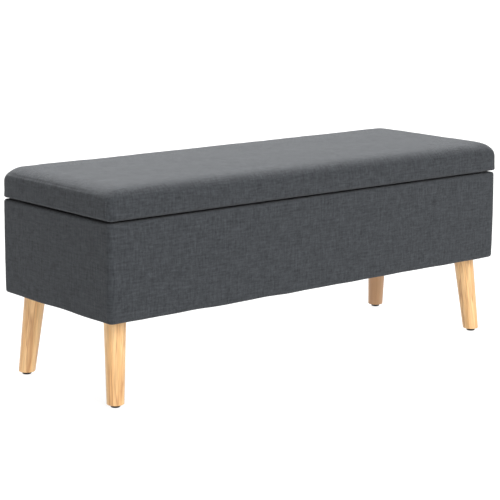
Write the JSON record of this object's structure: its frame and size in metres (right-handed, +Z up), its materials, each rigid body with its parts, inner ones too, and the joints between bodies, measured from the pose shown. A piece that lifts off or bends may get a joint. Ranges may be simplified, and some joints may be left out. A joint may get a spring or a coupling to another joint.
{
  "type": "storage bench",
  "caption": "Upholstered storage bench: a long padded box on splayed, tapered round wooden legs, with a padded lid hinged at the back over a lined storage space.",
  "frame": {"origin": "centre of the bench's footprint, on the floor under the feet", "axes": "+X along the bench's length towards the right end as seen from the front, +Y towards the back, where the lid is hinged, +Z up"},
  "size_m": [1.1, 0.4, 0.4525],
  "materials": {
    "charcoal_fabric": "charcoal grey linen-look plain weave, matt",
    "pale_wood": "pale wood with a clear satin finish",
    "black_plastic": "black, slightly glossy",
    "zinc_steel": "zinc plated",
    "fibreboard": "raw fibreboard",
    "foam": "open-cell upholstery foam",
    "black_lining": "black non-woven lining, matt"
  },
  "bodies": {
    "base": {"front_panel": "fibreboard", "back_panel": "fibreboard", "left_end_panel": "fibreboard", "right_end_panel": "fibreboard", "bottom_panel": "fibreboard", "base_padding": "foam", "base_cover": "charcoal_fabric", "storage_lining": "black_lining", "dust_cover": "black_lining", "leg_plate_front_left": "zinc_steel", "leg_bolt_front_left": "zinc_steel", "leg_front_left": "pale_wood", "glide_front_left": "black_plastic", "leg_plate_back_left": "zinc_steel", "leg_bolt_back_left": "zinc_steel", "leg_back_left": "pale_wood", "glide_back_left": "black_plastic", "leg_plate_front_right": "zinc_steel", "leg_bolt_front_right": "zinc_steel", "leg_front_right": "pale_wood", "glide_front_right": "black_plastic", "leg_plate_back_right": "zinc_steel", "leg_bolt_back_right": "zinc_steel", "leg_back_right": "pale_wood", "glide_back_right": "black_plastic", "lid_bumper_left": "black_plastic", "lid_bumper_right": "black_plastic", "hinge_base_leaf_left": "zinc_steel", "hinge_pin_left": "zinc_steel", "hinge_base_screw_left_1": "zinc_steel", "hinge_base_screw_left_2": "zinc_steel", "stay_base_bracket_left": "zinc_steel", "stay_base_rivet_left": "zinc_steel", "hinge_base_leaf_right": "zinc_steel", "hinge_pin_right": "zinc_steel", "hinge_base_screw_right_1": "zinc_steel", "hinge_base_screw_right_2": "zinc_steel", "stay_base_bracket_right": "zinc_steel", "stay_base_rivet_right": "zinc_steel"},
    "lid": {"lid_board": "fibreboard", "lid_foam": "foam", "lid_cover": "charcoal_fabric", "lid_lining": "black_lining", "hinge_lid_leaf_left": "zinc_steel", "hinge_lid_screw_left_1": "zinc_steel", "hinge_lid_screw_left_2": "zinc_steel", "stay_lid_bracket_left": "zinc_steel", "stay_lid_rivet_left": "zinc_steel", "hinge_lid_leaf_right": "zinc_steel", "hinge_lid_screw_right_1": "zinc_steel", "hinge_lid_screw_right_2": "zinc_steel", "stay_lid_bracket_right": "zinc_steel", "stay_lid_rivet_right": "zinc_steel"},
    "stay_lower_left": {"stay_lower_link_left": "zinc_steel", "stay_elbow_rivet_left": "zinc_steel"},
    "stay_upper_left": {"stay_upper_link_left": "zinc_steel"},
    "stay_lower_right": {"stay_lower_link_right": "zinc_steel", "stay_elbow_rivet_right": "zinc_steel"},
    "stay_upper_right": {"stay_upper_link_right": "zinc_steel"}
  },
  "joints": [
    {"name": "lid_hinge", "type": "hinge", "parent": "base", "child": "lid", "pos_m": [0, 0.1972, 0.38375], "axis": [-1, 0, 0], "range_deg": [0, 90]},
    {"name": "stay_base_pivot_left", "type": "hinge", "parent": "base", "child": "stay_lower_left", "pos_m": [-0.5205, 0.15, 0.235], "axis": [-1, 0, 0], "range_deg": [0, 88.8]},
    {"name": "stay_elbow_left", "type": "hinge", "parent": "stay_lower_left", "child": "stay_upper_left", "pos_m": [-0.5205, 0.02045, 0.22419], "axis": [-1, 0, 0], "range_deg": [-89.8, 0]},
    {"name": "stay_base_pivot_right", "type": "hinge", "parent": "base", "child": "stay_lower_right", "pos_m": [0.5205, 0.15, 0.235], "axis": [-1, 0, 0], "range_deg": [0, 88.8]},
    {"name": "stay_elbow_right", "type": "hinge", "parent": "stay_lower_right", "child": "stay_upper_right", "pos_m": [0.5205, 0.02045, 0.22419], "axis": [-1, 0, 0], "range_deg": [-89.8, 0]}
  ],
  "couplings": [
    {"joint": "stay_base_pivot_left", "follows": "lid_hinge", "ratio": 0.98659},
    {"joint": "stay_elbow_left", "follows": "lid_hinge", "ratio": -0.99775},
    {"joint": "stay_base_pivot_right", "follows": "lid_hinge", "ratio": 0.98659},
    {"joint": "stay_elbow_right", "follows": "lid_hinge", "ratio": -0.99775}
  ]
}
